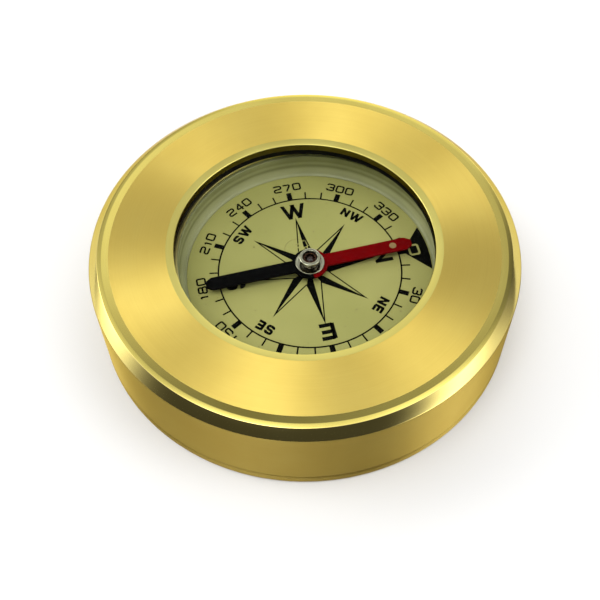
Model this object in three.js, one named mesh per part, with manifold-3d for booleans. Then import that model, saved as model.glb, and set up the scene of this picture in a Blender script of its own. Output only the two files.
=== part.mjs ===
// Round brass card compass: a heavy turned ring, a screwed-in base and a dry
// capsule with a jewelled needle. Millimetres, +Z up. The origin is the centre
// of the case's underside and +Y is the dial's north.
import * as THREE from 'three';
import { mergeVertices } from 'three/addons/utils/BufferGeometryUtils.js';
import Module from 'manifold-3d';

// Clearances.
const seat = 0.04;
const fit = 0.05;
const bearingGap = 0.05;

// Dial card and the capsule built out from it. The capsule sits in the cavity
// with some play, so its axis is off the case's.
const dialRadius = 19.2;
const dialThickness = 0.35;
const cupCornerRun = 1.0;
const cupCornerHeight = 2.2;
const cupRimWall = 0.3;
const cupFloorThickness = 1.0;
const crystalOverlap = 0.75;
const crystalThickness = 0.65;
const headroom = 3.7;
const snapRingThickness = 0.28;
const capsulePlay = 1.1;
const capsuleShift = 0.82;
const capsuleShiftBearing = 13;

// Case ring, turned from brass bar.
const caseRadius = 32.5;
const caseHeight = 14.6;
const lipOverhang = 2.75;
const lipThickness = 1.4;
const innerBevelWidth = 1.17;
const innerBevelDrop = 0.2;
const rimBandWidth = 1.48;
const rimBandDrop = 0.1;
const edgeBevelWidth = 1.67;
const edgeBevelDrop = 1.7;
const edgeRounding = 0.35;
const gasketInset = 0.15;
const gasketThickness = 1.11;

// Base: a plate as wide as the case, with a spigot that screws into the cavity.
const basePlateThickness = 1.4;
const spigotHeight = 2.4;
const threadClearance = 0.15;
const jointChamfer = 0.2;
const footChamfer = 0.35;
const spannerHoleRadius = 1.25;
const spannerHoleDepth = 0.8;
const spannerHolePitchRadius = 14;
const sealThickness = 0.25;
const sealInset = 0.3;
const cushionInset = 1.8;

// Jewel, and the hub built out from it.
const jewelRadius = 0.72;
const jewelThickness = 0.5;
const jewelRounding = 0.15;
const jewelDimpleRadius = 0.432;
const jewelRingWidth = 0.22;
const recessLedge = 0.12;
const capRecessDepth = 0.32;
const capRimWidth = 0.52;
const capRimHeight = 0.42;
const capRimOverhang = 0.38;
const capClearance = 0.4;
const capRimRounding = 0.12;
const shankStep = 0.2;
const shankWall = 0.35;
const flangeOverhang = 0.58;
const flangeThickness = 0.22;
const discOverhang = 0.54;
const swageWidth = 0.6;
const swageThickness = 0.25;

// Needle blade.
const needleLength = 32.8;
const needleWidth = 2.25;
const needleThickness = 0.3;
const needleRide = 1.3;
const needleTipLength = 0.95;
const needleTipWidth = 1.05;
const needleHeading = -1.6;
const lumeDotRadius = 0.55;
const lumeDotThickness = 0.08;
const lumeDotInset = 3.0;

// Pin and its bush.
const pinRadius = 0.42;
const pinConeHeight = 1.1;
const bushWall = 0.58;
const bushHeadWidth = 0.6;
const bushHeadThickness = 0.25;
const nutWidth = 1.3;
const nutThickness = 0.7;
const nutRoom = 0.9;

// Facets round a large, a middling and a small circle.
const largeFacets = 72;
const mediumFacets = 64;
const smallFacets = 28;

// Radii worked out from the sizes above.
const capsuleBore = dialRadius + cupCornerRun;
const crystalRadius = capsuleBore + crystalOverlap;
const capsuleRadius = crystalRadius + fit + cupRimWall;
const cavityRadius = capsuleRadius + capsulePlay;
const openingRadius = cavityRadius - lipOverhang;
const jewelSeatRadius = jewelRadius + jewelRingWidth + 2 * fit;
const capRecessRadius = jewelSeatRadius + recessLedge;
const capRimRadius = capRecessRadius + capRimWidth;
const capNeckRadius = capRimRadius - capRimOverhang;
const shankRadius = capNeckRadius - shankStep;
const shankBore = shankRadius - shankWall;
const flangeRadius = capRimRadius + flangeOverhang;
const hubDiscRadius = flangeRadius + discOverhang;
const bushRadius = pinRadius + bushWall;
const nutRadius = bushRadius + nutWidth;

// Heights worked out from the sizes above. The capsule hangs from the lip and
// the cushion fills what is left over the base's spigot.
const lipUnderside = caseHeight - lipThickness;
const gasketUnderside = lipUnderside - seat - gasketThickness;
const snapRingTop = gasketUnderside - seat;
const crystalTop = snapRingTop - snapRingThickness - seat;
const crystalUnderside = crystalTop - crystalThickness;
const dialHeight = crystalUnderside - headroom;
const dialUnderside = dialHeight - dialThickness;
const floorTop = dialUnderside - seat;
const floorUnderside = floorTop - cupFloorThickness;
const nutUnderside = floorUnderside - seat - nutThickness;
const bushTop = dialHeight + seat + bushHeadThickness;
const bladeUnderside = dialHeight + needleRide;
const bladeTop = bladeUnderside + needleThickness;
const flangeTop = bladeTop + seat + flangeThickness;
const swageTop = bladeUnderside - seat;
const swageUnderside = swageTop - swageThickness;
const capTop = crystalUnderside - capClearance;
const capRimUnderside = capTop - capRimHeight;
const jewelTop = capTop - capRecessDepth;
const jewelUnderside = jewelTop - jewelThickness;
const sealUnderside = basePlateThickness + seat;
const caseUnderside = sealUnderside + sealThickness + seat;
const spigotTop = basePlateThickness + spigotHeight;

const wasm = await Module();
wasm.setup();

const metal = (color, roughness) => new THREE.MeshStandardMaterial({ color, roughness, metalness: 1 });
const plain = (color, roughness) => new THREE.MeshStandardMaterial({ color, roughness, metalness: 0 });
const finishes = {
  brass: metal(0xcaa64f, 0.3),
  nickel: metal(0xb9b7a8, 0.25),
  steel: metal(0x8d8d8d, 0.3),
  ivoryCard: plain(0xb9b57a, 0.6),
  clearPlastic: plain(0x9fa68a, 0.2),
  glass: plain(0xe6ece6, 0.05),
  blackRubber: plain(0x141512, 0.7),
  foam: plain(0x2c2c2c, 0.9),
  redPaint: plain(0x9a0a08, 0.45),
  jewel: plain(0x2a1208, 0.05),
  lume: plain(0xc9c48c, 0.7),
};

// A solid of revolution about Z from a closed outline of [radius, height]
// pairs, drawn counter-clockwise with the axis on its left.
function turned(outline, facets) {
  const points = [...outline, outline[0]].map(([r, z]) => new THREE.Vector2(r, z));
  const geometry = new THREE.LatheGeometry(points, facets);
  geometry.rotateX(Math.PI / 2);
  return geometry;
}

// A ring of rectangular section.
function ring(innerRadius, outerRadius, bottom, top, facets) {
  const outline = [[innerRadius, bottom], [outerRadius, bottom], [outerRadius, top], [innerRadius, top]];
  return turned(outline, facets);
}

// Points on a hollow elliptical quarter that comes down a wall from `top` and
// runs out level at `foot`.
function hollowCorner(top, foot, steps) {
  const points = [];
  for (let i = 0; i <= steps; i += 1) {
    const turn = (i / steps) * Math.PI / 2;
    const across = 1 - Math.cos(turn);
    const down = Math.sin(turn);
    points.push([top[0] + (foot[0] - top[0]) * across, top[1] + (foot[1] - top[1]) * down]);
  }
  return points;
}

function toManifold(geometry) {
  const bare = geometry.clone();
  bare.deleteAttribute('normal');
  bare.deleteAttribute('uv');
  const merged = mergeVertices(bare, 1e-5);
  const mesh = new wasm.Mesh({
    numProp: 3,
    vertProperties: new Float32Array(merged.attributes.position.array),
    triVerts: new Uint32Array(merged.index.array),
  });
  return new wasm.Manifold(mesh);
}

function toGeometry(solid) {
  const mesh = solid.getMesh();
  const geometry = new THREE.BufferGeometry();
  geometry.setAttribute('position', new THREE.BufferAttribute(new Float32Array(mesh.vertProperties), 3));
  geometry.setIndex(new THREE.BufferAttribute(new Uint32Array(mesh.triVerts), 1));
  geometry.computeVertexNormals();
  return geometry;
}

function piece(parent, name, geometry, material) {
  const mesh = new THREE.Mesh(geometry, material);
  mesh.name = name;
  parent.add(mesh);
}

// The heavy ring. From the opening outwards its top is a narrow bevel, the wide
// flat, a narrow rim band, then a polished bevel down to the upright wall.
function caseRing() {
  const flatStart = openingRadius + innerBevelWidth;
  const bandEnd = caseRadius - edgeBevelWidth;
  const bandStart = bandEnd - rimBandWidth;
  const bandEdgeHeight = caseHeight - rimBandDrop;
  const wallTop = caseHeight - edgeBevelDrop;
  const shoulder = [bandEnd - edgeRounding, bandEdgeHeight];
  const bevelSlope = (bandEdgeHeight - wallTop) / edgeBevelWidth;
  const brow = [bandEnd + edgeRounding, bandEdgeHeight - edgeRounding * bevelSlope];
  return turned([
    [cavityRadius, caseUnderside],
    [caseRadius - jointChamfer, caseUnderside],
    [caseRadius, caseUnderside + jointChamfer],
    [caseRadius, wallTop],
    brow,
    shoulder,
    [bandStart, caseHeight],
    [flatStart, caseHeight],
    [openingRadius, caseHeight - innerBevelDrop],
    [openingRadius, lipUnderside],
    [cavityRadius, lipUnderside],
  ], largeFacets);
}

// The base plate with its spigot and two blind holes for a pin spanner.
function baseCover() {
  const spigotRadius = cavityRadius - threadClearance;
  let solid = toManifold(turned([
    [0, 0],
    [caseRadius - footChamfer, 0],
    [caseRadius, footChamfer],
    [caseRadius, basePlateThickness - jointChamfer],
    [caseRadius - jointChamfer, basePlateThickness],
    [spigotRadius, basePlateThickness],
    [spigotRadius, spigotTop],
    [0, spigotTop],
  ], largeFacets));
  const throughFace = 1;
  for (const side of [-1, 1]) {
    const length = spannerHoleDepth + throughFace;
    const hole = new THREE.CylinderGeometry(spannerHoleRadius, spannerHoleRadius, length, smallFacets);
    hole.rotateX(Math.PI / 2);
    hole.translate(side * spannerHolePitchRadius, 0, length / 2 - throughFace);
    solid = solid.subtract(toManifold(hole));
  }
  return toGeometry(solid);
}

// The capsule's cup: a floor for the dial, a wall that curves up from the
// dial's edge, a ledge for the crystal and a rim that holds the snap ring.
function capsuleCup() {
  const boss = bushRadius + fit;
  const cornerTop = dialHeight + cupCornerHeight;
  const pocket = crystalRadius + fit;
  const dialPocket = dialRadius + fit;
  return turned([
    [boss, floorUnderside],
    [capsuleRadius, floorUnderside],
    [capsuleRadius, snapRingTop],
    [pocket, snapRingTop],
    [pocket, crystalUnderside - seat],
    [capsuleBore, crystalUnderside - seat],
    ...hollowCorner([capsuleBore, cornerTop], [dialPocket, dialHeight], 4),
    [dialPocket, floorTop],
    [boss, floorTop],
  ], mediumFacets);
}

// The swaged bush that carries the pin through the dial and the cup's floor.
function pivotBush() {
  const bore = pinRadius + fit;
  return turned([
    [bore, nutUnderside],
    [bushRadius, nutUnderside],
    [bushRadius, dialHeight + seat],
    [bushRadius + bushHeadWidth, dialHeight + seat],
    [bushRadius + bushHeadWidth, bushTop],
    [bore, bushTop],
  ], smallFacets);
}

// The hexagon nut that clamps the bush under the cup's floor.
function pivotNut() {
  const corners = [];
  for (let i = 0; i < 6; i += 1) {
    const turn = i * Math.PI / 3;
    corners.push(new THREE.Vector2(nutRadius * Math.cos(turn), nutRadius * Math.sin(turn)));
  }
  const outline = new THREE.Shape(corners);
  const bore = new THREE.Path();
  bore.absarc(0, 0, bushRadius + fit, 0, 2 * Math.PI, true);
  outline.holes.push(bore);
  const curveSegments = smallFacets / 2;
  const depth = nutThickness;
  const nut = new THREE.ExtrudeGeometry(outline, { depth, bevelEnabled: false, curveSegments });
  nut.translate(0, 0, nutUnderside);
  return nut;
}

// The hardened pin. Its point stands just under the jewel's dimple.
function pivotPin() {
  const point = jewelUnderside + jewelThickness / 2 - bearingGap;
  return turned([
    [0, nutUnderside],
    [pinRadius, nutUnderside],
    [pinRadius, point - pinConeHeight],
    [0, point],
  ], smallFacets);
}

// The jewel, with the dimple that runs on the pin's point.
function jewel() {
  return turned([
    [0, jewelUnderside + jewelThickness / 2],
    [jewelDimpleRadius, jewelUnderside],
    [jewelRadius, jewelUnderside],
    [jewelRadius, jewelTop - jewelRounding],
    [jewelRadius - jewelRounding, jewelTop],
    [0, jewelTop],
  ], smallFacets);
}

// The hub's cap: a rolled rim round a recess, a neck, and a shank that goes
// down through the flange and the blade.
function hubCap() {
  return turned([
    [shankBore, swageUnderside],
    [shankRadius, swageUnderside],
    [shankRadius, flangeTop + seat],
    [capNeckRadius, flangeTop + seat],
    [capNeckRadius, capRimUnderside],
    [capRimRadius, capRimUnderside + capRimRounding],
    [capRimRadius, capTop - capRimRounding],
    [capRimRadius - capRimRounding, capTop],
    [capRecessRadius, capTop],
    [capRecessRadius, jewelTop],
    [jewelSeatRadius, jewelTop],
    [jewelSeatRadius, jewelUnderside - seat],
    [shankBore, jewelUnderside - seat],
  ], smallFacets);
}

// The blade: two parallel arms with clipped ends and a round hub disc.
function needleBlade() {
  const half = needleLength / 2;
  const shoulder = half - needleTipLength;
  const side = needleWidth / 2;
  const end = needleTipWidth / 2;
  const meet = Math.asin(side / hubDiscRadius);
  const outline = new THREE.Shape();
  outline.moveTo(side, shoulder);
  outline.lineTo(end, half);
  outline.lineTo(-end, half);
  outline.lineTo(-side, shoulder);
  outline.absarc(0, 0, hubDiscRadius, Math.PI / 2 + meet, 3 * Math.PI / 2 - meet, false);
  outline.lineTo(-side, -shoulder);
  outline.lineTo(-end, -half);
  outline.lineTo(end, -half);
  outline.lineTo(side, -shoulder);
  outline.absarc(0, 0, hubDiscRadius, -Math.PI / 2 + meet, Math.PI / 2 - meet, false);
  outline.closePath();
  const bore = new THREE.Path();
  bore.absarc(0, 0, shankRadius + fit, 0, 2 * Math.PI, true);
  outline.holes.push(bore);
  const curveSegments = 12;
  const depth = needleThickness;
  const blade = new THREE.ExtrudeGeometry(outline, { depth, bevelEnabled: false, curveSegments });
  blade.translate(0, 0, bladeUnderside);
  return blade;
}

const compass = new THREE.Group();

piece(compass, 'case_ring', caseRing(), finishes.brass);
piece(compass, 'base_cover', baseCover(), finishes.brass);
const sealRadius = caseRadius - jointChamfer - sealInset;
piece(compass, 'base_seal', ring(cavityRadius + fit, sealRadius, sealUnderside, sealUnderside + sealThickness,
  mediumFacets), finishes.blackRubber);
piece(compass, 'crystal_gasket', ring(openingRadius + gasketInset, cavityRadius - fit, gasketUnderside,
  lipUnderside - seat, mediumFacets), finishes.blackRubber);

// The capsule and what it holds stand on the capsule's own axis.
const capsule = new THREE.Group();
const shiftAngle = THREE.MathUtils.degToRad(capsuleShiftBearing);
capsule.position.set(capsuleShift * Math.sin(shiftAngle), capsuleShift * Math.cos(shiftAngle), 0);
compass.add(capsule);

const cushionRadius = capsuleRadius - cushionInset;
piece(capsule, 'capsule_cushion', ring(nutRadius + nutRoom, cushionRadius, spigotTop + seat,
  floorUnderside - seat, mediumFacets), finishes.foam);
piece(capsule, 'capsule_cup', capsuleCup(), finishes.clearPlastic);
piece(capsule, 'dial_card', ring(bushRadius + fit, dialRadius, dialUnderside, dialHeight, mediumFacets),
  finishes.ivoryCard);
const crystalDisc = new THREE.CylinderGeometry(crystalRadius, crystalRadius, crystalThickness, mediumFacets);
crystalDisc.rotateX(Math.PI / 2);
crystalDisc.translate(0, 0, crystalUnderside + crystalThickness / 2);
piece(capsule, 'crystal', crystalDisc, finishes.glass);
piece(capsule, 'crystal_snap_ring', ring(capsuleBore, crystalRadius, crystalTop + seat, snapRingTop,
  mediumFacets), finishes.brass);
piece(capsule, 'pivot_bush', pivotBush(), finishes.brass);
piece(capsule, 'pivot_nut', pivotNut(), finishes.brass);
piece(capsule, 'pivot_pin', pivotPin(), finishes.steel);

// The needle turns about the pin. At rest it points a little west of north.
const needle = new THREE.Group();
needle.rotation.z = THREE.MathUtils.degToRad(-needleHeading);
capsule.add(needle);

piece(needle, 'needle_blade', needleBlade(), finishes.redPaint);
const dotTop = bladeTop + seat + lumeDotThickness;
const dot = new THREE.CylinderGeometry(lumeDotRadius, lumeDotRadius, lumeDotThickness, smallFacets);
dot.rotateX(Math.PI / 2);
dot.translate(0, needleLength / 2 - lumeDotInset, dotTop - lumeDotThickness / 2);
piece(needle, 'luminous_dot', dot, finishes.lume);
piece(needle, 'hub_flange', ring(shankRadius + fit, flangeRadius, bladeTop + seat, flangeTop, smallFacets),
  finishes.nickel);
piece(needle, 'hub_cap', hubCap(), finishes.nickel);
piece(needle, 'hub_swage_washer', ring(shankRadius + fit, shankRadius + swageWidth, swageUnderside, swageTop,
  smallFacets), finishes.nickel);
piece(needle, 'jewel', jewel(), finishes.jewel);
const jewelRingBore = jewelRadius + fit;
piece(needle, 'jewel_ring', ring(jewelRingBore, jewelRingBore + jewelRingWidth, jewelUnderside, jewelTop,
  smallFacets), finishes.brass);

export default compass;
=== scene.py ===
from math import cos, pi, radians, sin

import bmesh
import bpy
from mathutils import Matrix, Vector


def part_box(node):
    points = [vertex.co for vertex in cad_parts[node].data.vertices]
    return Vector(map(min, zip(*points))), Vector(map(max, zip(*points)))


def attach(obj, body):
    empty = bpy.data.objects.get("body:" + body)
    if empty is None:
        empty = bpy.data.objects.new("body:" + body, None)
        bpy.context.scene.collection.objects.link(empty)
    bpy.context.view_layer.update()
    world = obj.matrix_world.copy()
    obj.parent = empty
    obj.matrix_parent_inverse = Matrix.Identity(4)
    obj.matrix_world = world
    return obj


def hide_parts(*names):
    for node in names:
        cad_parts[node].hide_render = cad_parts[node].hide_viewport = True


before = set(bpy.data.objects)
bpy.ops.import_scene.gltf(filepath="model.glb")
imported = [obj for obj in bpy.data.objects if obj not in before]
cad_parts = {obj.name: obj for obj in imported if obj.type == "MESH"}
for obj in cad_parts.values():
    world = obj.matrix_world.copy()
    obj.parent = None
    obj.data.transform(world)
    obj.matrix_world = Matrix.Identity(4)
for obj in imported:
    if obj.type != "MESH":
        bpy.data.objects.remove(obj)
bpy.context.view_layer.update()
mm = 0.001

# ---------------------------------------------------------------------------
# Camera. It stands 150 mm from the middle of the dial and looks down on it
# from just south of east, turned a little so that the case fills the picture.
camera_distance = 150.0 * mm
camera_elevation = radians(54.16)
camera_bearing = radians(103.0)
camera_pan = radians(0.596)
camera_tilt = radians(-1.842)

dial_low, dial_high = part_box("dial_card")
dial_axis = Vector(((dial_low.x + dial_high.x) / 2, (dial_low.y + dial_high.y) / 2, 0))
dial_top = dial_high.z
dial_middle = dial_axis + Vector((0, 0, dial_top))

towards_camera = Vector((
    sin(camera_bearing) * cos(camera_elevation),
    cos(camera_bearing) * cos(camera_elevation),
    sin(camera_elevation),
))
bpy.ops.object.camera_add(location=dial_middle + towards_camera * camera_distance)
camera = bpy.context.object
camera.name = "camera"
camera.data.sensor_width = 36.0
camera.data.lens = 57.58
camera.data.clip_start = 0.01
looking = towards_camera.to_track_quat("Z", "Y").to_matrix()
turned_aside = Matrix.Rotation(camera_pan, 3, "Y") @ Matrix.Rotation(camera_tilt, 3, "X")
camera.matrix_world = Matrix.Translation(camera.location) @ (looking @ turned_aside).to_4x4()
bpy.context.scene.camera = camera
bpy.context.scene.view_settings.view_transform = "Standard"


# ---------------------------------------------------------------------------
# Case ring: the heavy ring, turned from brass bar. The wide flat is finished
# with fine concentric turning, the rim is polished and the wall is left satin.
class Wire:
    """A socket of a material's node, with arithmetic that adds Math nodes."""

    def __init__(self, tree, socket):
        self.tree = tree
        self.socket = socket

    def node(self, kind, settings, sockets, output=0):
        """Adds a node, sets it up, gives its sockets values or wires, and returns one of its outputs."""
        added = self.tree.nodes.new("ShaderNode" + kind)
        for key, value in settings.items():
            setattr(added, key, value)
        for key, value in sockets.items():
            if isinstance(value, Wire):
                self.tree.links.new(value.socket, added.inputs[key])
            else:
                added.inputs[key].default_value = value
        return Wire(self.tree, added.outputs[output])

    def math(self, operation, *terms):
        """A Math node on the terms alone: this wire is only in it where it is one of them."""
        return self.node("Math", {"operation": operation}, dict(enumerate(terms)))

    def __add__(self, other):
        return self.math("ADD", self, other)

    def __radd__(self, other):
        return self.math("ADD", other, self)

    def __sub__(self, other):
        return self.math("SUBTRACT", self, other)

    def __rsub__(self, other):
        return self.math("SUBTRACT", other, self)

    def __mul__(self, other):
        return self.math("MULTIPLY", self, other)

    def __rmul__(self, other):
        return self.math("MULTIPLY", other, self)

    def __truediv__(self, other):
        return self.math("DIVIDE", self, other)

    def __pow__(self, other):
        return self.math("POWER", self, other)

    def smooth(self, low, high):
        """0 below low, 1 above high, and an easy curve between."""
        settings = {"interpolation_type": "SMOOTHSTEP"}
        return self.node("MapRange", settings, {"Value": self, "From Min": low, "From Max": high})

    def mix(self, colour_a, colour_b):
        """Colour a where this is 0 and colour b where it is 1."""
        return self.node("Mix", {"data_type": "RGBA"}, {"Factor": self, 6: colour_a, 7: colour_b}, 2)

    def noise(self, where, scale, detail=3.0, roughness=0.5):
        """Cloudy noise, with so many clouds to the metre."""
        sockets = {"Vector": where, "Scale": scale, "Detail": detail, "Roughness": roughness}
        return self.node("TexNoise", {}, sockets)


def finish(name, **fixed):
    """A new material, its Principled shader with the fixed values set, and a wire of Object coordinates."""
    material = bpy.data.materials.new(name)
    material.use_nodes = True
    tree = material.node_tree
    shader = tree.nodes["Principled BSDF"]
    for key, value in fixed.items():
        shader.inputs[key.replace("_", " ").title().replace("Ior", "IOR")].default_value = value
    place = Wire(tree, tree.nodes.new("ShaderNodeTexCoord").outputs["Object"])
    return material, shader, place


def drive(shader, **wires):
    """Joins wires to a shader's sockets."""
    for key, wire in wires.items():
        wire.tree.links.new(wire.socket, shader.inputs[key.replace("_", " ").title()])


def around(place, axis):
    """How far a place is from an upright axis, and two wires that turn with it round the axis."""
    sockets = {0: place, 1: (axis.x, axis.y, 0)}
    across = place.node("VectorMath", {"operation": "SUBTRACT"}, sockets)
    x = across.node("SeparateXYZ", {}, {0: across}, 0)
    y = across.node("SeparateXYZ", {}, {0: across}, 1)
    radius = (x * x + y * y) ** 0.5
    return radius, x / radius, y / radius


def turning_marks(place, axis, fineness, spread, detail=4.0):
    """Noise drawn out round an axis, as the lines that a turning tool leaves."""
    radius, turn_x, turn_y = around(place, axis)
    height = place.node("SeparateXYZ", {}, {0: place}, 2)
    sockets = {0: (radius + height) * fineness, 1: turn_x * spread, 2: turn_y * spread}
    along = place.node("CombineXYZ", {}, sockets)
    return place.noise(along, 1.0, detail, 0.6)


def brass(name, roughness, anisotropic, marks, tone):
    """Yellow brass. marks is how strongly the turning shows, and tone is the colour it is given, which on
    some finishes is darkened as painted shade.
    """
    edge = (tone[0] * 0.95, tone[1] * 0.95, tone[2] * 1.6, 1.0)
    material, shader, place = finish(name, metallic=1.0, anisotropic=anisotropic, anisotropic_rotation=0.25,
                                     specular_tint=edge)
    lines = turning_marks(place, Vector((0, 0, 0)), 9000.0, 1.6)
    cloud = place.noise(place, 120.0, 3.0)
    bright = (*tone, 1.0)
    dull = (tone[0] * 0.93, tone[1] * 0.9, tone[2] * 0.82, 1.0)
    drive(shader, base_color=(cloud * 0.6 + lines * 0.4).smooth(0.3, 0.7).mix(dull, bright))
    drive(shader, roughness=roughness + (lines - 0.5) * (0.12 * marks) + (cloud - 0.5) * 0.05)
    sockets = {"Strength": 0.25 * marks, "Distance": 0.02 * mm, "Height": lines}
    drive(shader, normal=lines.node("Bump", {}, sockets))
    return material


def start_point(place):
    """Starts a new mesh as one point, in edit mode."""
    bpy.ops.object.select_all(action="DESELECT")
    bpy.ops.mesh.primitive_plane_add(size=1 * mm, location=(0, 0, 0))
    bpy.ops.object.mode_set(mode="EDIT")
    bpy.ops.mesh.merge(type="CENTER")
    bpy.ops.transform.translate(value=place)


def draw(places, closed):
    """Draws on from the start point through the other places, and back to the start when closed."""
    for last, place in zip(places, places[1:]):
        step = Vector(place) - Vector(last)
        bpy.ops.mesh.extrude_region_move(TRANSFORM_OT_translate={"value": step})
    if closed:
        editing = bmesh.from_edit_mesh(bpy.context.object.data)
        for point in editing.verts:
            point.select = len(point.link_edges) < 2
        bpy.ops.mesh.edge_face_add()


def pick_near(places):
    """Selects the points that lie at the places, and nothing else."""
    editing = bmesh.from_edit_mesh(bpy.context.object.data)
    editing.select_mode = {"VERT"}
    for point in editing.verts:
        point.select = any((point.co - Vector(place)).length < 0.001 * mm for place in places)
    editing.select_flush_mode()
    bmesh.update_edit_mesh(bpy.context.object.data)


def round_corners(places, radius, segments):
    """Rounds the corners of a drawn outline that lie at the places."""
    pick_near(places)
    bpy.ops.mesh.bevel(offset=radius, offset_type="WIDTH", segments=segments, affect="VERTICES", profile=0.5)


def close_up(name, smooth_angle=35):
    """Joins a mesh's seams, turns its faces outwards, shades it and gives the object its name."""
    bpy.ops.mesh.select_all(action="SELECT")
    bpy.ops.mesh.remove_doubles(threshold=0.0005 * mm)
    bpy.ops.mesh.normals_make_consistent(inside=False)
    bpy.ops.object.mode_set(mode="OBJECT")
    bpy.ops.object.shade_smooth_by_angle(angle=radians(smooth_angle))
    made = bpy.context.object
    made.name = name
    made.data.name = name
    return made


def turned(name, section, axis, facets, closed=True):
    """Turns a half section of (radius, height, corner radius), in millimetres, about an upright axis."""
    places = [axis + Vector((radius * mm, 0, height * mm)) for radius, height, _ in section]
    start_point(places[0])
    draw(places, closed)
    for corner in sorted({corner for _, _, corner in section if corner}):
        same = [place for place, (_, _, c) in zip(places, section) if c == corner]
        round_corners(same, corner * mm, 5)
    bpy.ops.mesh.select_all(action="SELECT")
    bpy.ops.mesh.spin(steps=facets, angle=2 * pi, center=axis, axis=(0, 0, 1))
    return close_up(name)


def give(piece, body, material, slot, *nodes):
    """Puts a finish on a piece, says which body it rides on and hides the CAD nodes it stands for; slot is
    not used.
    """
    piece.data.materials.append(material)
    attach(piece, body)
    if nodes:
        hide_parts(*nodes)


def paint_where(piece, material, wanted):
    """Gives the faces that wanted(centre, normal) picks another finish."""
    piece.data.materials.append(material)
    number = len(piece.data.materials) - 1
    for face in piece.data.polygons:
        if wanted(face.center, face.normal):
            face.material_index = number


case_axis = Vector((0, 0, 0))
case_low, case_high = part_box("case_ring")
cavity_radius = 22.4
case_radius = case_high.x / mm
case_top = case_high.z / mm
case_foot = case_low.z / mm
opening_radius = 19.65
lip_underside = 13.2
flat_start = 20.82
flat_end = 29.35
rim_inner = 30.4
rim_outer = 31.05
bevel_foot = case_top - 1.5
turning_facets = 288

case_ring = turned("case_ring_turned", [
    (cavity_radius, case_foot, 0),
    (case_radius - 0.2, case_foot, 0.08),
    (case_radius, case_foot + 0.2, 0.08),
    (case_radius, bevel_foot, 0.35),
    (rim_outer, case_top - 0.18, 0.1),
    (rim_inner, case_top - 0.045, 0.1),
    (flat_end, case_top, 0.05),
    (flat_start, case_top, 0.05),
    (opening_radius, case_top - 0.2, 0.2),
    (opening_radius, lip_underside, 0.05),
    (cavity_radius, lip_underside, 0),
], case_axis, turning_facets)
# The case ring is one brass. The lower tones of the rim, bevel, mouth, wall and bore finishes are painted
# shade, darkest on the satin wall and in the bore under the lip.
turned_brass = brass("turned_brass", 0.36, 1.0, 1.0, (0.88, 0.675, 0.16))
rim_brass = brass("rim_brass", 0.14, 0.0, 0.3, (0.66, 0.56, 0.145))
polished_brass = brass("polished_brass", 0.1, 0.0, 0.1, (0.74, 0.62, 0.21))
mouth_brass = brass("mouth_brass", 0.34, 0.0, 0.4, (0.72, 0.64, 0.18))
bore_brass_painted_shade = brass("bore_brass_painted_shade", 0.3, 0.0, 0.5, (0.16, 0.13, 0.035))
satin_brass_painted_shade = brass("satin_brass_painted_shade", 0.5, 1.0, 0.6, (0.46, 0.345, 0.09))


def out_from_axis(place):
    """How far a place is from the case's axis, in millimetres."""
    return Vector(place).xy.length / mm


give(case_ring, "case", turned_brass, "case_brass", "case_ring")
bevel_start = 31.0
top_slope = 0.1
bore_slope = 0.3
wall_slope = 0.55
paint_where(case_ring, rim_brass,
            lambda centre, normal: normal.z > top_slope and flat_end < out_from_axis(centre))
paint_where(case_ring, mouth_brass,
            lambda centre, normal: out_from_axis(centre) < flat_start)
# The bore under the lip gets near-black brass: painted shade.
paint_where(case_ring, bore_brass_painted_shade,
            lambda centre, normal: normal.z < bore_slope and out_from_axis(centre) < cavity_radius)
paint_where(case_ring, polished_brass,
            lambda centre, normal: normal.z > top_slope and bevel_start < out_from_axis(centre))
# The wall gets the darker satin brass: painted shade.
paint_where(case_ring, satin_brass_painted_shade,
            lambda centre, normal: normal.z < wall_slope and bevel_start < out_from_axis(centre))

# ---------------------------------------------------------------------------
# Base: a brass plate as wide as the case. Its spigot screws up into the ring,
# over a thin black seal, and two blind holes in the foot take a pin spanner.
base_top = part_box("base_cover")[1].z / mm
plate_top = 1.4
spigot_radius = cavity_radius - 0.15
spanner_hole_radius = 1.25
spanner_hole_depth = 0.8
spanner_hole_out = 14
base = turned("base_cover_turned", [
    (0, 0, 0),
    (case_radius - 0.35, 0, 0.1),
    (case_radius, 0.35, 0.1),
    (case_radius, plate_top - 0.2, 0.08),
    (case_radius - 0.2, plate_top, 0.08),
    (spigot_radius, plate_top, 0),
    (spigot_radius, base_top, 0.1),
    (0, base_top, 0),
], case_axis, turning_facets, closed=False)


def combine(piece, tool, operation):
    """Adds a tool's shape to a piece or cuts it away, and removes the tool."""
    bpy.context.view_layer.objects.active = piece
    change = piece.modifiers.new("combine", "BOOLEAN")
    change.operation = operation
    change.object = tool
    bpy.ops.object.modifier_apply(modifier=change.name)
    bpy.data.objects.remove(tool)


for side in (-1, 1):
    bpy.ops.mesh.primitive_cylinder_add(vertices=48, radius=spanner_hole_radius * mm,
                                        depth=2 * spanner_hole_depth * mm,
                                        location=(side * spanner_hole_out * mm, 0, 0))
    combine(base, bpy.context.object, "DIFFERENCE")
# The base's edge takes the same darker satin brass, painted shade as on the wall.
give(base, "case", satin_brass_painted_shade, "case_brass", "base_cover")

seal_low, seal_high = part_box("base_seal")
seal_bore = cavity_radius + 0.05
ring_facets = 192
seal = turned("base_seal_ring", [
    (seal_bore, seal_low.z / mm, 0),
    (seal_high.x / mm, seal_low.z / mm, 0.06),
    (seal_high.x / mm, seal_high.z / mm, 0.06),
    (seal_bore, seal_high.z / mm, 0),
], case_axis, ring_facets)
black_rubber, shader, place = finish("black_rubber", specular_ior_level=0.06)
grain = place.noise(place, 2500.0)
drive(shader, base_color=grain.mix((0.002, 0.002, 0.002, 1), (0.006, 0.006, 0.005, 1)))
drive(shader, roughness=0.5 + grain * 0.3)
give(seal, "case", black_rubber, "black_rubber", "base_seal")

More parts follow.
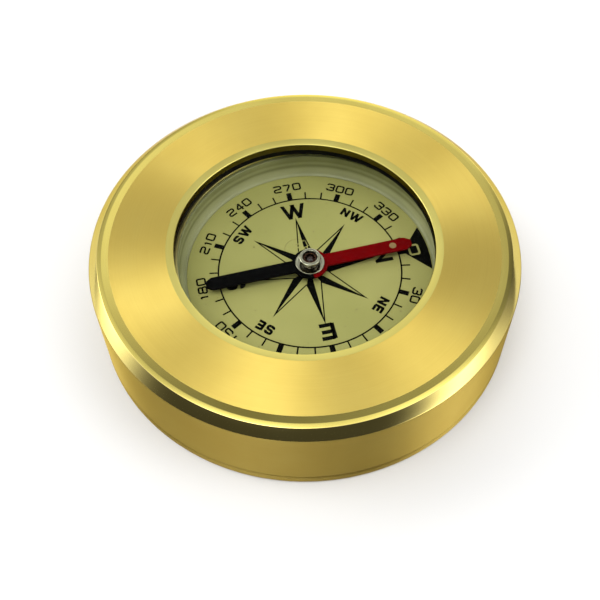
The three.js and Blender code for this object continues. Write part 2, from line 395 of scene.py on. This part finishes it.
# ---------------------------------------------------------------------------
# Gasket: a black rubber ring squeezed between the case's lip and the capsule.
gasket_low, gasket_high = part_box("crystal_gasket")
gasket_bore = 19.8
gasket = turned("crystal_gasket_ring", [
    (gasket_bore, gasket_low.z / mm, 0.15),
    (gasket_high.x / mm, gasket_low.z / mm, 0.1),
    (gasket_high.x / mm, gasket_high.z / mm, 0.1),
    (gasket_bore, gasket_high.z / mm, 0.15),
], case_axis, ring_facets)
give(gasket, "case", black_rubber, "black_rubber", "crystal_gasket")

# ---------------------------------------------------------------------------
# Capsule cup: one moulding in grey-green plastic. Its wall curves up from the
# dial's edge to the ledge that the crystal rests on.
cup_low, cup_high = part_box("capsule_cup")
bush_hole = 1.05
cup_bore = 20.2
cup_radius = 21.3
pocket_radius = 21.0
pocket_floor = 11.0
dial_pocket = 19.25
dial_height = dial_top / mm
cup_floor_top = dial_low.z / mm - 0.04
cup_corner_height = 2.2
corner_steps = 10
cup_corner = [
    (
        cup_bore - (cup_bore - dial_pocket) * (1 - cos(step / corner_steps * pi / 2)),
        dial_height + cup_corner_height * (1 - sin(step / corner_steps * pi / 2)),
        0,
    )
    for step in range(corner_steps + 1)
]
cup = turned("capsule_cup_moulding", [
    (bush_hole, cup_low.z / mm, 0),
    (cup_radius, cup_low.z / mm, 0.2),
    (cup_radius, cup_high.z / mm, 0.05),
    (pocket_radius, cup_high.z / mm, 0.05),
    (pocket_radius, pocket_floor, 0),
    (cup_bore, pocket_floor, 0.06),
    *cup_corner,
    (dial_pocket, cup_floor_top, 0),
    (bush_hole, cup_floor_top, 0),
], dial_axis, ring_facets)
cup_plastic, shader, place = finish("cup_plastic", roughness=0.35, specular_ior_level=0.3)
haze = place.noise(place, 90.0)
bands = turning_marks(place, dial_axis, 800.0, 0.1, 1.0)
shade = haze * 0.35 + bands * 0.65
drive(shader, base_color=shade.smooth(0.35, 0.65).mix((0.25, 0.26, 0.125, 1), (0.44, 0.45, 0.24, 1)))
give(cup, "case", cup_plastic, "cup_plastic", "capsule_cup")

# ---------------------------------------------------------------------------
# Crystal: a flat disc of clear plastic, and the olive-gold ring that snaps in
# over it and holds it down in the cup's rim.
crystal_low, crystal_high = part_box("crystal")
crystal_radius = (crystal_high.x - crystal_low.x) / 2 / mm
crystal = turned("crystal_disc", [
    (0, crystal_low.z / mm, 0),
    (crystal_radius, crystal_low.z / mm, 0.08),
    (crystal_radius, crystal_high.z / mm, 0.08),
    (0, crystal_high.z / mm, 0),
], dial_axis, ring_facets, closed=False)
clear_crystal, shader, place = finish("clear_crystal")
tree = clear_crystal.node_tree
tree.nodes.remove(shader)
shine = place.node("Fresnel", {}, {"IOR": 1.06})
smear = place.noise(place, 60.0)
glass_front = place.node("BsdfGlossy", {}, {"Color": (1, 1, 1, 1), "Roughness": 0.04})
see_through = place.node("BsdfTransparent", {}, {"Color": (0.985, 0.99, 0.98, 1)})
both = place.node("MixShader", {}, {0: shine * (0.8 + 0.4 * smear), 1: see_through, 2: glass_front})
tree.links.new(both.socket, tree.nodes["Material Output"].inputs["Surface"])
give(crystal, "case", clear_crystal, "crystal", "crystal")

snap_low, snap_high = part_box("crystal_snap_ring")
snap_radius = 20.95
snap_ring = turned("crystal_snap_ring_turned", [
    (cup_bore, snap_low.z / mm, 0.05),
    (snap_radius, snap_low.z / mm, 0.05),
    (snap_radius, snap_high.z / mm, 0.05),
    (cup_bore, snap_high.z / mm, 0.05),
], dial_axis, ring_facets)
olive_brass = brass("olive_brass", 0.3, 0.4, 0.5, (0.62, 0.56, 0.22))
give(snap_ring, "case", olive_brass, "trim_brass", "crystal_snap_ring")

# ---------------------------------------------------------------------------
# Dial card: a thin card coated with pale green luminous paint. It has a hole
# for the pivot's bush and carries the printed scale.
card_radius = 19.2
card = turned("dial_card_sheet", [
    (bush_hole, dial_low.z / mm, 0),
    (card_radius, dial_low.z / mm, 0),
    (card_radius, dial_height, 0.04),
    (bush_hole, dial_height, 0.03),
], dial_axis, ring_facets)
luminous_card, shader, place = finish("luminous_card", specular_ior_level=0.15)
cloud = place.noise(place, 70.0, 4.0)
speck = place.noise(place, 1800.0, 2.0)
card_colour = cloud.smooth(0.3, 0.7).mix((0.355, 0.35, 0.108, 1), (0.405, 0.39, 0.13, 1))
card_colour = speck.smooth(0.25, 0.32).mix((0.3, 0.285, 0.1, 1), card_colour)

# A faint curved scratch west of the hub, and one dark speck, south-west of it.
scratch_middle = dial_axis + Vector((-4.3, -1.1, 0)) * mm
scratch_radius = 1.95 * mm
off_scratch = around(place, scratch_middle)[0] - scratch_radius
from_scratch = off_scratch.math("ABSOLUTE", off_scratch)
scratch = (1.0 - from_scratch.smooth(0.02 * mm, 0.08 * mm)) * cloud.smooth(0.4, 0.55) * 0.7
spot_middle = dial_axis + Vector((-6.2, -7.7, 0)) * mm
spot = 1.0 - around(place, spot_middle)[0].smooth(0.05 * mm, 0.16 * mm)
drive(shader, base_color=scratch.math("MAXIMUM", scratch, spot).mix(card_colour, (0.05, 0.035, 0.012, 1)))
drive(shader, roughness=0.5 + speck * 0.15)
drive(shader, normal=speck.node("Bump", {}, {"Strength": 0.15, "Distance": 0.02 * mm, "Height": speck}))
give(card, "case", luminous_card, "dial_card", "dial_card")

# ---------------------------------------------------------------------------
# Dial print: black ink, pad-printed on the card. A degree circle with a tick
# every ten degrees, squarish numbers, eight letters and an eight-point rose.
ink_height = 0.015
circle_radius = 14.3
line_width = 0.25
ink, shader, place = finish("dial_ink", specular_ior_level=0.01)
tooth = place.noise(place, 2200.0)
black = tooth.mix((0.002, 0.0025, 0.002, 1), (0.004, 0.004, 0.003, 1))

# The ink is cracked and partly flaked off near the root of the west point.
break_middle = dial_axis + Vector((-4.4, -0.2, 0)) * mm
from_break = around(place, break_middle)[0]
cracks = place.node("TexVoronoi", {"feature": "DISTANCE_TO_EDGE"}, {"Vector": place, "Scale": 1100.0})
flaked = (1.0 - from_break.smooth(1.0 * mm, 1.7 * mm)) * (1.0 - cracks.smooth(0.03, 0.09))
drive(shader, base_color=flaked.mix(black, (0.36, 0.35, 0.11, 1)))
drive(shader, roughness=0.45 + tooth * 0.25)


def raised(height):
    """Gives the lines or the patch drawn in edit mode a height, and leaves edit mode."""
    bpy.ops.mesh.select_all(action="SELECT")
    bpy.ops.mesh.extrude_region_move(TRANSFORM_OT_translate={"value": (0, 0, height)})
    bpy.ops.mesh.select_all(action="SELECT")
    bpy.ops.mesh.normals_make_consistent(inside=False)
    bpy.ops.object.mode_set(mode="OBJECT")
    return bpy.context.object


def stroke(path, width, corner=0.0, closed=False):
    """A printed line of even width along a path of (across, out) places, with its corners rounded."""
    places = [Vector((x * mm, y * mm, 0)) for x, y in path]
    start_point(places[0])
    draw(places, closed)
    inner = places if closed else places[1:-1]
    if corner and inner:
        round_corners(inner, corner * mm, 4)
    line = raised(ink_height * mm)
    wall = line.modifiers.new("width", "SOLIDIFY")
    wall.thickness = width * mm
    wall.offset = 0
    wall.use_even_offset = True
    bpy.ops.object.modifier_apply(modifier=wall.name)
    return line


def joined(pieces):
    """Joins pieces into the first one and returns it."""
    bpy.ops.object.select_all(action="DESELECT")
    for piece in pieces:
        piece.select_set(True)
    bpy.context.view_layer.objects.active = pieces[0]
    if len(pieces) > 1:
        bpy.ops.object.join()
    return bpy.context.object


def on_dial(piece, bearing, out):
    """Moves a mark, drawn about its own middle, to its place on the dial, with its top outwards."""
    turn = Matrix.Rotation(-radians(bearing), 4, "Z")
    piece.data.transform(Matrix.Translation(dial_middle) @ turn @ Matrix.Translation((0, out * mm, 0)))


# Centre lines of the characters in a cell one wide and one high: open paths, then closed ones.
shapes = {
    "0": ([], [[(0, 0), (1, 0), (1, 1), (0, 1)]]),
    "1": ([[(0.25, 0.72), (0.6, 1.0), (0.6, 0)]], []),
    "2": ([[(-0.02, 0.86), (0.04, 1), (1, 1), (1, 0.55), (0, 0.42), (0, 0), (1.05, 0)]], []),
    "3": ([[(0, 0.8), (0, 1), (1, 1), (1, 0.5), (0.35, 0.5)],
           [(0.35, 0.5), (1, 0.5), (1, 0), (0, 0), (0, 0.2)]], []),
    "4": ([[(0.78, -0.08), (0.78, 1), (0.7, 1), (0, 0.28), (1.1, 0.28)]], []),
    "5": ([[(1, 1), (0.05, 1), (0.02, 0.56), (1, 0.56), (1, 0), (0, 0), (0, 0.2)]], []),
    "6": ([[(0.95, 0.8), (0.9, 1), (0, 1), (0, 0.3)]], [[(0, 0), (1, 0), (1, 0.55), (0, 0.55)]]),
    "7": ([[(-0.05, 1), (1, 1), (0.35, -0.05)]], []),
    "8": ([], [[(0, 0), (1, 0), (1, 0.52), (0, 0.52)], [(0.05, 0.52), (0.95, 0.52), (0.95, 1), (0.05, 1)]]),
    "9": ([[(0.05, 0.2), (0.1, 0), (1, 0), (1, 0.7)]], [[(0, 0.45), (1, 0.45), (1, 1), (0, 1)]]),
    "N": ([[(0, -0.1), (0, 1.1)], [(1, -0.1), (1, 1.1)], [(-0.1, 1.18), (1.1, -0.18)]], []),
    "E": ([[(0, -0.1), (0, 1.1)], [(0, 0), (1.1, 0)], [(0, 0.52), (1, 0.52)], [(0, 1), (1.1, 1)]], []),
    "S": ([[(1, 0.74), (1, 1), (0, 1), (0, 0.54), (1, 0.46), (1, 0), (0, 0), (0, 0.26)]], []),
    "W": ([[(-0.06, 1.2), (0.26, -0.2)], [(0.24, -0.2), (0.53, 1.2)], [(0.47, 1.2), (0.76, -0.2)],
           [(0.74, -0.2), (1.06, 1.2)]], []),
}
widths = {"1": 0.7, "W": 1.5}


def character(letter, wide, high, line):
    """One character, standing on its own middle, clipped square at its top and foot."""
    wide = wide * widths.get(letter, 1.0)
    run, rise = wide - line, high - line
    corner = 0.0 if letter in "NEW" else 0.24 * min(wide, high)
    cell = [
        ([((x - 0.5) * run, (y - 0.5) * rise) for x, y in path], closed)
        for closed, paths in enumerate(shapes[letter])
        for path in paths
    ]
    made = joined([stroke(path, line, corner, bool(closed)) for path, closed in cell])
    for point in made.data.vertices:
        point.co.y = max(-high / 2 * mm, min(high / 2 * mm, point.co.y))
        point.co.x = max(-wide * 0.56 * mm, min(wide * 0.56 * mm, point.co.x))
    return made


def word(text, bearing, out, wide, high, line, gap):
    """A number or letters, set in a straight line across its bearing."""
    lengths = [wide * widths.get(letter, 1.0) for letter in text]
    start = -(sum(lengths) + gap * (len(text) - 1)) / 2
    letters = []
    for letter, length in zip(text, lengths):
        made = character(letter, wide, high, line)
        made.data.transform(Matrix.Translation(((start + length / 2) * mm, 0, 0)))
        letters.append(made)
        start += length + gap
    whole = joined(letters)
    on_dial(whole, bearing, out)
    return whole


marks = [turned("degree_circle", [
    (circle_radius - line_width / 2, dial_height, 0),
    (circle_radius + line_width / 2, dial_height, 0),
    (circle_radius + line_width / 2, dial_height + ink_height, 0),
    (circle_radius - line_width / 2, dial_height + ink_height, 0),
], dial_axis, ring_facets)]
for bearing in range(10, 360, 10):
    if bearing % 30 == 0:
        tick_end, tick_width = 15.85, 0.82
    else:
        tick_end, tick_width = 15.7, line_width
    tick = stroke([(0, circle_radius), (0, tick_end)], tick_width)
    on_dial(tick, bearing, 0)
    marks.append(tick)
for bearing in range(30, 360, 30):
    marks.append(word(str(bearing), bearing, out=17.0, wide=1.42, high=1.56, line=0.29, gap=0.18))
for text, bearing in (("N", 0), ("E", 90), ("S", 180), ("W", 270)):
    marks.append(word(text, bearing, out=11.82, wide=2.45, high=2.98, line=0.66, gap=0.0))
for text, bearing in (("NE", 45), ("SE", 135), ("SW", 225), ("NW", 315)):
    marks.append(word(text, bearing, out=12.7, wide=1.35, high=1.7, line=0.43, gap=0.27))

# The north mark: a black wedge on a short stem, with a pale nought left open in it.
wedge_half_angle = radians(12.8)
wedge_edge = 19.1
arc_steps = 12
stem_side = 0.42
stem_end = 15.35
wedge_arc = [
    (wedge_edge * sin(turn), wedge_edge * cos(turn))
    for turn in (wedge_half_angle * (2 * step / arc_steps - 1) for step in range(arc_steps + 1))
]


def plate(path):
    """A flat patch of ink inside a closed path."""
    places = [Vector((x * mm, y * mm, 0)) for x, y in path]
    start_point(places[0])
    draw(places, True)
    bpy.ops.mesh.select_all(action="SELECT")
    bpy.ops.mesh.edge_face_add()
    return raised(ink_height * mm)


wedge = plate([*wedge_arc, (stem_side, stem_end), (stem_side, circle_radius),
               (-stem_side, circle_radius), (-stem_side, stem_end)])
on_dial(wedge, 0, 0)
marks.append(wedge)

# The rose: eight points of one length. Each has its clockwise half inked and
# the other half drawn in outline.
rose_tip = 9.95
rose_root = 3.0
rose_line = 0.19
half_step = radians(22.5)
for bearing in range(0, 360, 45):
    root = (rose_root * sin(half_step), rose_root * cos(half_step))
    inked = plate([(0, 0), (0, rose_tip), root])
    outline = stroke([(-root[0], root[1]), (0, rose_tip), root], rose_line)
    for part in (inked, outline):
        on_dial(part, bearing, 0)
        marks.append(part)
printed = joined(marks)
printed.name = "dial_print"
give(printed, "case", ink, "dial_card")

nought = character("0", wide=2.16, high=1.8, line=0.34)
nought_out = 16.87
nought.data.transform(Matrix.Translation((0, 0, ink_height * mm)))
on_dial(nought, 0, nought_out)
nought.name = "north_nought"
give(nought, "case", luminous_card, "dial_card")

# ---------------------------------------------------------------------------
# Needle: a steel strip blanked in one piece with its round hub disc, painted
# red on the north arm and black on the south arm.
blade_low, blade_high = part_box("needle_blade")
heading = radians(-1.6)
needle_turn = Matrix.Translation(dial_axis) @ Matrix.Rotation(-heading, 4, "Z")
blade_foot = blade_low.z
blade_thickness = blade_high.z - blade_low.z
half_length = 16.4
blade_width = 2.25
tip_length = 0.95
tip_width = 1.05
hub_disc_radius = 2.8
hub_bore = 1.15

bpy.ops.object.select_all(action="DESELECT")
bpy.ops.mesh.primitive_cylinder_add(vertices=96, radius=hub_disc_radius * mm, depth=blade_thickness,
                                    location=(0, 0, blade_foot + blade_thickness / 2))
blade = bpy.context.object
side = blade_width / 2
end = tip_width / 2
shoulder = half_length - tip_length
blade_corner = 0.25
outline = [(side, shoulder), (end, half_length), (-end, half_length), (-side, shoulder),
           (-side, -shoulder), (-end, -half_length), (end, -half_length), (side, -shoulder)]
blade_path = [Vector((x * mm, y * mm, blade_foot)) for x, y in outline]
start_point(blade_path[0])
draw(blade_path, True)
round_corners(blade_path, blade_corner * mm, 4)
bpy.ops.mesh.select_all(action="SELECT")
bpy.ops.mesh.edge_face_add()
arms = raised(blade_thickness)
bpy.ops.mesh.primitive_cylinder_add(vertices=64, radius=hub_bore * mm, depth=4 * mm,
                                    location=(0, 0, blade_foot))
bore = bpy.context.object
combine(blade, arms, "UNION")
combine(blade, bore, "DIFFERENCE")
bpy.ops.object.select_all(action="DESELECT")
blade.select_set(True)
bpy.context.view_layer.objects.active = blade
bpy.ops.object.transform_apply()
edge = blade.modifiers.new("edge", "BEVEL")
edge.width = 0.04 * mm
edge.segments = 2
edge.limit_method = "ANGLE"
bpy.ops.object.modifier_apply(modifier=edge.name)
bpy.ops.object.mode_set(mode="EDIT")
bpy.ops.mesh.select_all(action="SELECT")
bpy.ops.mesh.bisect(plane_co=(0, 0, 0), plane_no=(0, 1, 0))
blade = close_up("needle_blade_painted")


def needle_paint(name, dark, light, shine):
    """Thin paint of low gloss, with a faint texture."""
    material, shader, place = finish(name, specular_ior_level=shine)
    tooth = place.noise(place, 900.0, 4.0)
    drive(shader, base_color=tooth.smooth(0.3, 0.7).mix((*dark, 1), (*light, 1)))
    drive(shader, roughness=0.38 + tooth * 0.2)
    drive(shader, normal=tooth.node("Bump", {}, {"Strength": 0.1, "Distance": 0.01 * mm, "Height": tooth}))
    return material


red_paint = needle_paint("red_paint", (0.125, 0.0002, 0.0008), (0.175, 0.0004, 0.0012), 0.02)
black_paint = needle_paint("black_paint", (0.001, 0.001, 0.001), (0.003, 0.003, 0.003), 0.012)
give(blade, "needle", red_paint, "needle_paint", "needle_blade")
paint_where(blade, black_paint, lambda centre, normal: centre.y < 0)
blade.data.transform(needle_turn)

dot_low, dot_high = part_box("luminous_dot")
dot_radius = 0.55
dot_out = 13.4
dot = turned("luminous_dot_drop", [
    (0, dot_low.z / mm, 0),
    (dot_radius, dot_low.z / mm, 0),
    (dot_radius, dot_low.z / mm + 0.04, 0.03),
    (0, dot_high.z / mm, 0),
], Vector((0, 0, 0)), 48, closed=False)
dot.data.transform(needle_turn @ Matrix.Translation((0, dot_out * mm, 0)))
lume, shader, place = finish("lume_paint", specular_ior_level=0.3)
grain = place.noise(place, 2600.0)
drive(shader, base_color=grain.mix((0.22, 0.13, 0.045, 1), (0.34, 0.24, 0.1, 1)))
drive(shader, roughness=0.6 + grain * 0.2)
give(dot, "needle", lume, "luminous", "luminous_dot")

# ---------------------------------------------------------------------------
# Hub: a nickel-plated cap with a rolled rim, standing on a bright flange. A
# dark stone sits in its recess, inside a thin setting ring.
flange_low, flange_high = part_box("hub_flange")
flange_radius = 2.26
hub_facets = 96
flange = turned("hub_flange_turned", [
    (hub_bore, flange_low.z / mm, 0),
    (flange_radius, flange_low.z / mm, 0.04),
    (flange_radius, flange_high.z / mm, 0.08),
    (hub_bore, flange_high.z / mm, 0.04),
], dial_axis, hub_facets)


def plated(name, tone, roughness):
    """Plated metal of the given tone, with faint rings from turning: nickel with a slight yellow cast, steel,
    or a near-black tone that paints shade.
    """
    material, shader, place = finish(name, metallic=1.0, anisotropic=0.3)
    lines = turning_marks(place, dial_axis, 14000.0, 1.0)
    dull = [0.5 * part for part in tone]
    drive(shader, base_color=lines.smooth(0.4, 0.6).mix((*dull, 1), (*tone, 1)))
    drive(shader, roughness=roughness + lines * 0.08)
    return material


nickel = plated("nickel_plate", (0.64, 0.63, 0.47), 0.08)
give(flange, "needle", nickel, "nickel", "hub_flange")

cap_low, cap_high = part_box("hub_cap")
cap_top = cap_high.z / mm
pin_way = 0.75
shank_radius = 1.1
neck_radius = 1.3
neck_foot = flange_high.z / mm + 0.04
neck_top = cap_top - 0.42
rim_radius = 1.68
recess_radius = 1.16
recess_floor = cap_top - 0.32
seat_radius = 1.04
seat_floor = cap_top - 0.86
cap = turned("hub_cap_turned", [
    (pin_way, cap_low.z / mm, 0),
    (shank_radius, cap_low.z / mm, 0),
    (shank_radius, neck_foot, 0),
    (neck_radius, neck_foot, 0.05),
    (neck_radius, neck_top, 0.08),
    (rim_radius, cap_top - 0.3, 0.14),
    (rim_radius, cap_top - 0.06, 0.16),
    (1.5, cap_top, 0.12),
    (recess_radius, cap_top, 0.08),
    (recess_radius, recess_floor, 0.03),
    (seat_radius, recess_floor, 0),
    (seat_radius, seat_floor, 0),
    (pin_way, seat_floor, 0),
], dial_axis, hub_facets)
give(cap, "needle", nickel, "nickel", "hub_cap")
# The cap's neck, the underside and lower edge of its rim, and the walls of its recess get a near-black copy
# of the nickel: painted shade under the rim and in the recess.
painted_shade_nickel = plated("painted_shade_nickel", (0.05, 0.04, 0.025), 0.2)
shade_neck_top = cap_top - 0.24
shade_recess_top = cap_top - 0.05
shade_recess_radius = 1.17
paint_where(cap, painted_shade_nickel,
            lambda centre, normal: flange_high.z < centre.z < shade_neck_top * mm)
paint_where(cap, painted_shade_nickel,
            lambda centre, normal: (centre - dial_axis).xy.length < shade_recess_radius * mm
            and flange_high.z < centre.z < shade_recess_top * mm)

stone_low, stone_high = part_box("jewel")
stone_foot = stone_low.z / mm
stone_top = stone_high.z / mm
stone_radius = 0.72
cone_radius = 0.43
cone_depth = 0.25
stone = turned("jewel_stone", [
    (0, stone_foot + cone_depth, 0),
    (cone_radius, stone_foot, 0.03),
    (stone_radius, stone_foot, 0.03),
    (stone_radius, stone_top - 0.42, 0.05),
    (0.62, stone_top - 0.25, 0.08),
    (0.42, stone_top - 0.1, 0.08),
    (0.2, stone_top - 0.02, 0.08),
    (0, stone_top, 0),
], dial_axis, hub_facets, closed=False)
dark_stone, shader, place = finish("dark_stone", ior=1.5, specular_ior_level=0.5)
veins = place.noise(place, 1500.0, 5.0)
drive(shader, base_color=veins.smooth(0.4, 0.65).mix((0.005, 0.004, 0.003, 1), (0.022, 0.007, 0.004, 1)))
drive(shader, roughness=0.04 + veins * 0.06)
give(stone, "needle", dark_stone, "jewel", "jewel")

ring_low, ring_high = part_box("jewel_ring")
setting_bore = 0.77
setting_radius = 0.99
setting = turned("jewel_setting", [
    (setting_bore, ring_low.z / mm, 0),
    (setting_radius, ring_low.z / mm, 0.03),
    (setting_radius, ring_high.z / mm, 0.06),
    (setting_bore, ring_high.z / mm, 0.06),
], dial_axis, hub_facets)
setting_brass = brass("setting_brass", 0.2, 0.0, 0.3, (0.1, 0.05, 0.03))
give(setting, "needle", setting_brass, "trim_brass", "jewel_ring")

# ---------------------------------------------------------------------------
# Inside pieces: the pin, its bush and nut, the washer under the blade and the
# foam disc under the cup keep their plain shapes and get their own metals.
steel = plated("pin_steel", (0.55, 0.56, 0.58), 0.2)
bush_brass = brass("bush_brass", 0.3, 0.0, 0.5, (0.75, 0.6, 0.28))
foam, shader, place = finish("cushion_foam", specular_ior_level=0.2)
cells = place.node("TexVoronoi", {}, {"Vector": place, "Scale": 1600.0})
drive(shader, base_color=cells.mix((0.02, 0.02, 0.02, 1), (0.05, 0.05, 0.05, 1)))
drive(shader, roughness=0.85 + cells * 0.1)
kept = {
    "pivot_pin": steel,
    "pivot_bush": bush_brass,
    "pivot_nut": bush_brass,
    "hub_swage_washer": nickel,
    "capsule_cushion": foam,
}
for node, material in kept.items():
    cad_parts[node].data.materials.clear()
    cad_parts[node].data.materials.append(material)

# ---------------------------------------------------------------------------
# Table and light: a pale table in a tent of white cloth with lamps behind it.
# The cloth is left open on the side where the camera looks in.
table_drop = 0.02 * mm
bpy.ops.object.select_all(action="DESELECT")
bpy.ops.mesh.primitive_plane_add(size=4.0, location=(0, 0, -table_drop))
table = bpy.context.object
table.name = "table"
pale, shader, place = finish("pale_table", specular_ior_level=0.1, roughness=0.8)
drive(shader, base_color=place.noise(place, 8.0).mix((0.9, 0.9, 0.9, 1), (0.94, 0.94, 0.93, 1)))
table.data.materials.append(pale)

world = bpy.data.worlds.new("tent")
bpy.context.scene.world = world
world.use_nodes = True
background = world.node_tree.nodes["Background"]
background.inputs["Color"].default_value = (1, 1, 1, 1)
way = Wire(world.node_tree, world.node_tree.nodes.new("ShaderNodeTexCoord").outputs["Generated"])


def lamp(bearing, elevation, strength, tightness=28.0):
    """The glow of one lamp behind the cloth, fading evenly all round."""
    aim = Vector((
        sin(radians(bearing)) * cos(radians(elevation)),
        cos(radians(bearing)) * cos(radians(elevation)),
        sin(radians(elevation)),
    ))
    along = way.node("VectorMath", {"operation": "DOT_PRODUCT"}, {0: way, 1: aim}, 1)
    falling = (along - 1.0) * tightness
    return falling.math("EXPONENT", falling) * strength


far_lamps = lamp(313, 3, 3.0) + lamp(283, 3, 3.5) + lamp(298, 33, 1.1) + lamp(263, 38, 1.1)
high_far_lamps = lamp(305, 56, 0.5, 80.0) + lamp(258, 52, 0.6, 80.0) + lamp(283, 84, 0.35)
right_lamps = lamp(13, 3, 0.8) + lamp(44, 3, 5.0, 45.0) + lamp(56, 3, 2.0, 80.0) + lamp(28, 24, 2.6)
high_right_lamps = lamp(13, 45, 1.6) + lamp(13, 66, 2.4)
left_lamps = lamp(193, 3, 1.5) + lamp(208, 24, 4.8) + lamp(213, 45, 1.5)
overhead_lamps = lamp(133, 70, 5.0) + lamp(173, 66, 2.0)
cloth_glow = 0.07
light = far_lamps + high_far_lamps + right_lamps + high_right_lamps + left_lamps + overhead_lamps + cloth_glow
seen = way.node("LightPath", {}, {}, 0)
backdrop = 0.95
strength = seen * backdrop + (1.0 - seen) * light
world.node_tree.links.new(strength.socket, background.inputs["Strength"])
